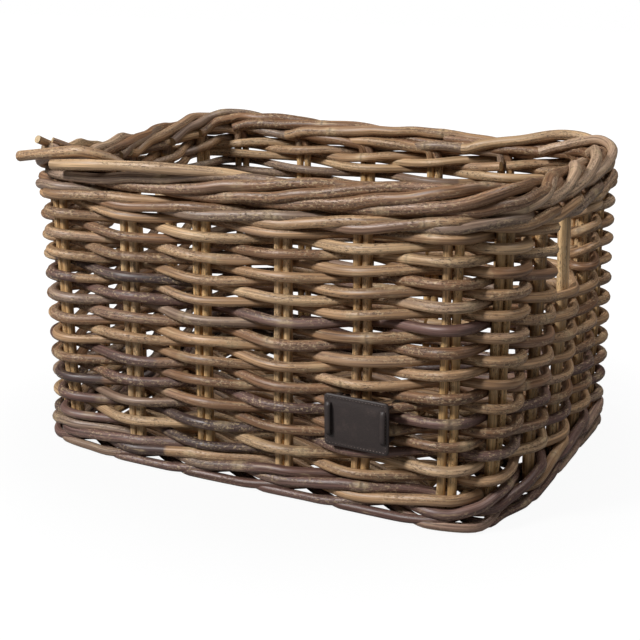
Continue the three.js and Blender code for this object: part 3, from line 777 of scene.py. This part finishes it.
for name, first, last in (
    ("front", LEFT_MIDDLE + 1 - PAIR_COUNT, RIGHT_MIDDLE - 1),
    ("back", RIGHT_MIDDLE + 1, LEFT_MIDDLE - 1),
):
    parts = []
    for i in range(HOLE_ROWS):
        row = PLAIN_ROWS + i
        z = FIRST_HOLE_ROW_Z + i * ROW_PITCH
        run = plain_run(row, first, last, z)
        onward = -1 if i % 2 else 1
        end_pair = last if onward > 0 else first
        if i == 0 and plain_side(row, first) > 0:
            parts.append(jamb_turn(row, first, -1, z, 0)[::-1])
        parts.append(run[::onward])
        top = i == HOLE_ROWS - 1
        if not top or plain_side(row, end_pair) > 0:
            parts.append(jamb_turn(row, end_pair, onward, z, 0 if top else ROW_PITCH))
    path = eased(place(*np.concatenate(parts).T), JAMB_EASE)
    tones = mixed_tones(PANEL_LENGTH, *PANEL_TONES)
    dark = dark_stretches(PLAIN_ROWS, first) if name == "front" else []
    rod = cane(path, HOLE_ROW_D, tones, stretches=dark)
    rattan_piece(f"hole_panel_{name}", [rod], weaver_finish, "weaver_rattan", f"{name}_hole_weaver")

# Top wale
# Three rattan rods waled round all the stakes over the hand holes, close under the border.
# They are laid as in the bottom wale and pressed down tight, so that each lies half over the next.
TOP_WALE_Z = 0.2222
TOP_WALE_RISE = 0.0065
TOP_WALE_OFFSET = WEAVE_OFFSET + 0.0002

for rod in range(3):
    tones = mixed_tones(ROUND_LENGTH, [TAN, BROWN, STRAW, GREY], [0.4, 0.3, 0.15, 0.15])
    path = waled(rod, wale_stroke(TOP_WALE_Z, TOP_WALE_RISE), TOP_WALE_OFFSET, BACK_START)
    rattan_piece(f"top_wale_{rod + 1}", [cane(path, ROW_D, tones)], weaver_finish, "weaver_rattan",
                 f"top_wale_rod_{rod + 1}")

# Loose border rods
# Rods laid into the border at the front left corner to fill it.  The long one stands out past the rounded
# corner with its cut end, a second lies beside it along the front, and two short ends stick up behind.
FILLER_D = 0.0092
SECOND_FILLER_D = FILLER_D * 0.97
SHORT_END_D = 0.0068


def bent(points, reach=0.02):
    """A path through a few points, with round bends."""
    return eased(np.array(points), reach)


long_rod = bent([(-0.2102, -0.160, 0.2571), (-0.173, -0.166, 0.2631), (-0.1413, -0.167, 0.2675),
                 (-0.1265, -0.163, 0.2648), (-0.1173, -0.152, 0.2587), (-0.107, -0.146, 0.250)], 0.012)
second_rod = bent([(-0.170, -0.168, 0.2542), (-0.1346, -0.170, 0.2571), (-0.100, -0.170, 0.259),
                   (-0.0647, -0.166, 0.2592), (-0.0408, -0.160, 0.2582), (-0.0139, -0.152, 0.2571),
                   (0.005, -0.145, 0.253)])
upper_end = bent([(-0.206, -0.1416, 0.2692), (-0.203, -0.1295, 0.2632), (-0.198, -0.1241, 0.2598),
                  (-0.190, -0.116, 0.252)], 0.006)
lower_end = bent([(-0.200, -0.1302, 0.2665), (-0.190, -0.1179, 0.2596), (-0.184, -0.110, 0.252)], 0.006)
rods = [
    cane(long_rod, FILLER_D, [(TO_THE_END, TAN)]),
    cane(second_rod, SECOND_FILLER_D, [(TO_THE_END, STRAW)]),
    cane(upper_end, SHORT_END_D, [(TO_THE_END, TAN)]),
    cane(lower_end, SHORT_END_D, [(TO_THE_END, BROWN)]),
]
rattan_piece("border_filler", rods, stake_finish, "stake_rattan", "border_filler_rod")

# Leather tag
# A plain plate of thick dark leather, flat on the weave low on the front.
# Its edge is rolled, and a line of stitches runs round it inside the edge.
TAG_X = 0.108
TAG_Z = 0.0773
TAG_WIDTH = 0.055
TAG_HEIGHT = 0.0425
TAG_THICK = 0.0026
TAG_CORNER = 0.0034
TAG_LEAST_CORNER = 0.0012
TAG_BACK_Y = -0.1662
# The plate's section from back to front: distance from the back, inset from the edge
TAG_SECTION = [
    (0.0, 0.0006), (0.0006, 0.0001), (0.0016, 0.0), (0.0023, 0.0004), (0.0027, 0.0012),
    (0.0024, 0.003), (0.0024, 0.0042), (0.0027, 0.0055), (0.0029, 0.010), (0.003, 0.016),
]
LEATHER = linear((0.20, 0.165, 0.157))
LEATHER_WORN = linear((0.32, 0.26, 0.24))
THREAD = linear((0.46, 0.40, 0.37))
STITCH_INSET = 0.0024
STITCH_PITCH = 0.0027
STITCH_SPAN = np.array([0.1, 0.3, 0.5, 0.66])
STITCH_PROUD = 0.0004
STITCH_ROOT = 0.0017
THREAD_RADIUS = 0.00032

leather_finish, tree = new_finish("dark_leather")
where = Wire.node(tree, "ShaderNodeTexCoord", output=3)
pebble = Wire.node(tree, "ShaderNodeTexVoronoi", {"feature": "SMOOTH_F1"},
                   {"Vector": where, "Scale": 900.0})
wear = where.noise((90, 90, 90), 5.0, 0.6)
hide = where.noise((420, 420, 420), 3.0, 0.6)
worn = wear.ramp(0.5, 0.75) * 0.6 + hide.ramp(0.5, 0.8) * 0.25
base = Wire.node(tree, "ShaderNodeMix", {"data_type": "RGBA"},
                 {0: worn, 6: LEATHER, 7: LEATHER_WORN}, 2)
thread = Wire.node(tree, "ShaderNodeAttribute", {"attribute_name": "thread"}, output=2)
base = base.mixed(THREAD, thread)
height = pebble * 0.6 + hide * 0.5
bump = Wire.node(tree, "ShaderNodeBump", None,
                 {"Strength": 0.5, "Distance": 0.0004, "Height": height})
shader = Wire.node(tree, "ShaderNodeBsdfPrincipled", None,
                   {"Base Color": base, "Roughness": 0.42 + wear * 0.25, "Normal": bump})
Wire.node(tree, "ShaderNodeOutputMaterial", None, {"Surface": shader})


def rounded_plate(width, height, corner, steps=6):
    """The outline of a plate with round corners, from its middle."""
    points = []
    for cx, cz, start in ((1, 1, 0), (-1, 1, 90), (-1, -1, 180), (1, -1, 270)):
        for i in range(steps + 1):
            turn = math.radians(start + 90 * i / steps)
            points.append((cx * (width / 2 - corner) + corner * math.cos(turn),
                           cz * (height / 2 - corner) + corner * math.sin(turn)))
    return np.array(points)


def tag_warp(x, z):
    """How far the leather stands off the flat."""
    return 0.0006 * np.sin(x * 70) + 0.0004 * np.sin(z * 90)


def ring_faces(rings, per):
    """Faces between rings of points, one after another, and over both ends."""
    faces = []
    for ring in range(rings - 1):
        a, b = ring * per, (ring + 1) * per
        for i in range(per):
            j = (i + 1) % per
            faces.append((a + i, a + j, b + j, b + i))
    faces.append(tuple(range(per))[::-1])
    faces.append(tuple(range((rings - 1) * per, rings * per)))
    return faces


def smooth_piece(name, points, faces, material, slot, *nodes):
    """One named piece of given points and faces, which stands for CAD nodes."""
    mesh = bpy.data.meshes.new(name)
    mesh.from_pydata([tuple(map(float, p)) for p in points], [], faces)
    mesh.polygons.foreach_set("use_smooth", np.ones(len(faces), bool))
    mesh.materials.append(material)
    mesh.update()
    made = bpy.data.objects.new(name, mesh)
    bpy.context.collection.objects.link(made)
    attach(made, "root")
    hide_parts(*nodes)
    return made


points = []
for depth, inset in TAG_SECTION:
    corner = max(TAG_CORNER - inset, TAG_LEAST_CORNER)
    ring = rounded_plate(TAG_WIDTH - 2 * inset, TAG_HEIGHT - 2 * inset, corner)
    warp = tag_warp(ring[:, 0], ring[:, 1])
    points += [(TAG_X + x, TAG_BACK_Y - depth - w, TAG_Z + z) for (x, z), w in zip(ring, warp)]
faces = ring_faces(len(TAG_SECTION), len(ring))
thread_from = len(points)
seam = rounded_plate(TAG_WIDTH - 2 * STITCH_INSET, TAG_HEIGHT - 2 * STITCH_INSET, TAG_LEAST_CORNER)
seam = np.concatenate([seam, seam[:1]])
seam_at = np.concatenate([[0], np.cumsum(np.linalg.norm(np.diff(seam, axis=0), axis=1))])
for begin in np.arange(0, seam_at[-1] - STITCH_PITCH / 2, STITCH_PITCH):
    stations = begin + STITCH_SPAN * STITCH_PITCH
    x, z = (np.interp(stations, seam_at, seam[:, i]) for i in range(2))
    across = np.array([z[3] - z[0], x[0] - x[3]]) / np.hypot(z[3] - z[0], x[0] - x[3]) * THREAD_RADIUS
    warp = tag_warp(x, z)
    first = len(points)
    for i, crest in enumerate((-STITCH_PROUD, STITCH_PROUD, STITCH_PROUD, -STITCH_PROUD)):
        for beside, proud in ((-1, -STITCH_PROUD), (0, crest), (1, -STITCH_PROUD)):
            y = TAG_BACK_Y - TAG_THICK - warp[i] - proud
            points.append((TAG_X + x[i] + beside * across[0], y, TAG_Z + z[i] + beside * across[1]))
    for i in range(3):
        for j in range(2):
            a = first + 3 * i + j
            faces.append((a, a + 1, a + 4, a + 3))
    rim = [first + i for i in (0, 3, 6, 9, 10, 11, 8, 5, 2, 1)]
    points.append((TAG_X + x.mean(), TAG_BACK_Y - STITCH_ROOT, TAG_Z + z.mean()))
    faces += [(a, b, len(points) - 1) for a, b in zip(rim, rim[1:] + rim[:1])]
plate = smooth_piece("leather_plate", points, faces, leather_finish, "leather", "leather_tag")
is_thread = np.arange(len(points)) >= thread_from
plate.data.attributes.new("thread", "FLOAT", "POINT").data.foreach_set("value", is_thread.astype(float))

# Tag thongs
# Two flat leather thongs that hold the tag, in the leather of the tag.  Each passes through two slits,
# over the tag's front as a raised bar and into the weave, where its ends turn towards each other.
THONG_SPREAD = 0.023
THONG_WIDTH = 0.0044
THONG_HALF_THICK = 0.0008
THONG_HALF = 0.0132
THONG_Z = 0.0786
THONG_FRONT_Y = TAG_BACK_Y - TAG_THICK - 0.0017
THONG_BEHIND_Y = -0.1359
THONG_TURN_Y = THONG_BEHIND_Y - 0.002
THONG_TURN = 0.001
THONG_TAIL = 0.007
THONG_BEND = 0.003
# The strip's section, as shares of half its width and half its thickness
THONG_SECTION = [
    (-1, -0.3), (-0.9, -1), (0.9, -1), (1, -0.3), (1, 0.4), (0.8, 1), (0, 1.25), (-0.8, 1), (-1, 0.4),
]

for name, side in (("left", -1), ("right", 1)):
    x = TAG_X + side * THONG_SPREAD
    low, high = THONG_Z - THONG_HALF, THONG_Z + THONG_HALF
    line = bent([(x, THONG_BEHIND_Y, low + THONG_TAIL), (x, THONG_BEHIND_Y, low + THONG_TURN),
                 (x, THONG_TURN_Y, low), (x, THONG_FRONT_Y, low),
                 (x, THONG_FRONT_Y, high), (x, THONG_TURN_Y, high),
                 (x, THONG_BEHIND_Y, high - THONG_TURN), (x, THONG_BEHIND_Y, high - THONG_TAIL)],
                THONG_BEND)
    tangents = np.gradient(line, axis=0)
    tangents /= np.linalg.norm(tangents, axis=1)[:, None]
    outward = np.cross(tangents, (1, 0, 0))
    points = []
    for point, out in zip(line, outward):
        for a, b in THONG_SECTION:
            points.append(point + np.array([a * THONG_WIDTH / 2, 0, 0]) + out * (b * THONG_HALF_THICK))
    faces = ring_faces(len(line), len(THONG_SECTION))
    smooth_piece(f"thong_{name}", points, faces, leather_finish, "leather", f"tag_thong_{name}")

# Floor, light and camera
# A plain white floor that keeps a soft shadow, and a camera where the photograph was taken from.
# The key lamp is high on the left in front, a weaker one overhead at the back, a weak one on the right.
FLOOR_REACH = 6
FLOOR_WHITE = 1.08
SKY_LIGHT = 0.04
CAMERA_AT = (0.49008, -0.95776, 0.41971)
CAMERA_DOWN = 16.51
CAMERA_TURN = 27.603
CAMERA_LENS = 69.603

floor_mesh = bpy.data.meshes.new("floor")
floor_corners = [(x * FLOOR_REACH, y * FLOOR_REACH, 0) for x, y in ((-1, -1), (1, -1), (1, 1), (-1, 1))]
floor_mesh.from_pydata(floor_corners, [], [(0, 1, 2, 3)])
floor = bpy.data.objects.new("floor", floor_mesh)
bpy.context.collection.objects.link(floor)
floor_finish, tree = new_finish("white_floor")
seen = Wire.node(tree, "ShaderNodeLightPath", output=0)
where = Wire.node(tree, "ShaderNodeTexCoord", output=3)
away = Wire.node(tree, "ShaderNodeVectorMath", {"operation": "LENGTH"}, {0: where}, 1)
lit = Wire.node(tree, "ShaderNodeBsdfDiffuse", None, {"Color": (0.3, 0.3, 0.3, 1)})
white = Wire.node(tree, "ShaderNodeEmission", None, {"Color": (1, 1, 1, 1), "Strength": FLOOR_WHITE})
share = seen * (away.ramp(0.2, 0.6) * 0.14 + 0.86)
surface = Wire.node(tree, "ShaderNodeMixShader", None, {0: share, 1: lit, 2: white})
Wire.node(tree, "ShaderNodeOutputMaterial", None, {"Surface": surface})
floor_mesh.materials.append(floor_finish)

world = bpy.data.worlds.new("studio")
bpy.context.scene.world = world
world.use_nodes = True
tree = world.node_tree
tree.nodes.clear()
seen = Wire.node(tree, "ShaderNodeLightPath", output=0)
strength = seen * (1 - SKY_LIGHT) + SKY_LIGHT
sky = Wire.node(tree, "ShaderNodeBackground", None, {"Color": (1, 1, 1, 1), "Strength": strength})
Wire.node(tree, "ShaderNodeOutputWorld", None, {"Surface": sky})


def soft_lamp(name, place_at, aim, size, power):
    """A square lamp of a size in metres and a power in watts, turned to a point."""
    lamp = bpy.data.lights.new(name, "AREA")
    lamp.size = size
    lamp.energy = power
    made = bpy.data.objects.new(name, lamp)
    made.location = place_at
    made.rotation_euler = (Vector(aim) - Vector(place_at)).to_track_quat("-Z", "Y").to_euler()
    bpy.context.collection.objects.link(made)


soft_lamp("key", (-1.1, -1.55, 1.6), (0, 0, 0.1), 0.5, 63)
soft_lamp("top", (0.7, 0.4, 1.9), (0.15, 0, 0.2), 0.7, 16)
soft_lamp("right", (1.5, -0.4, 1.0), (0, 0, 0.1), 1.2, 3)

camera = bpy.data.objects.new("camera", bpy.data.cameras.new("camera"))
camera.location = CAMERA_AT
camera.rotation_euler = (math.radians(90 - CAMERA_DOWN), 0, math.radians(CAMERA_TURN))
camera.data.lens = CAMERA_LENS
camera.data.sensor_width = 36
bpy.context.collection.objects.link(camera)
bpy.context.scene.camera = camera
bpy.context.scene.view_settings.view_transform = "Standard"
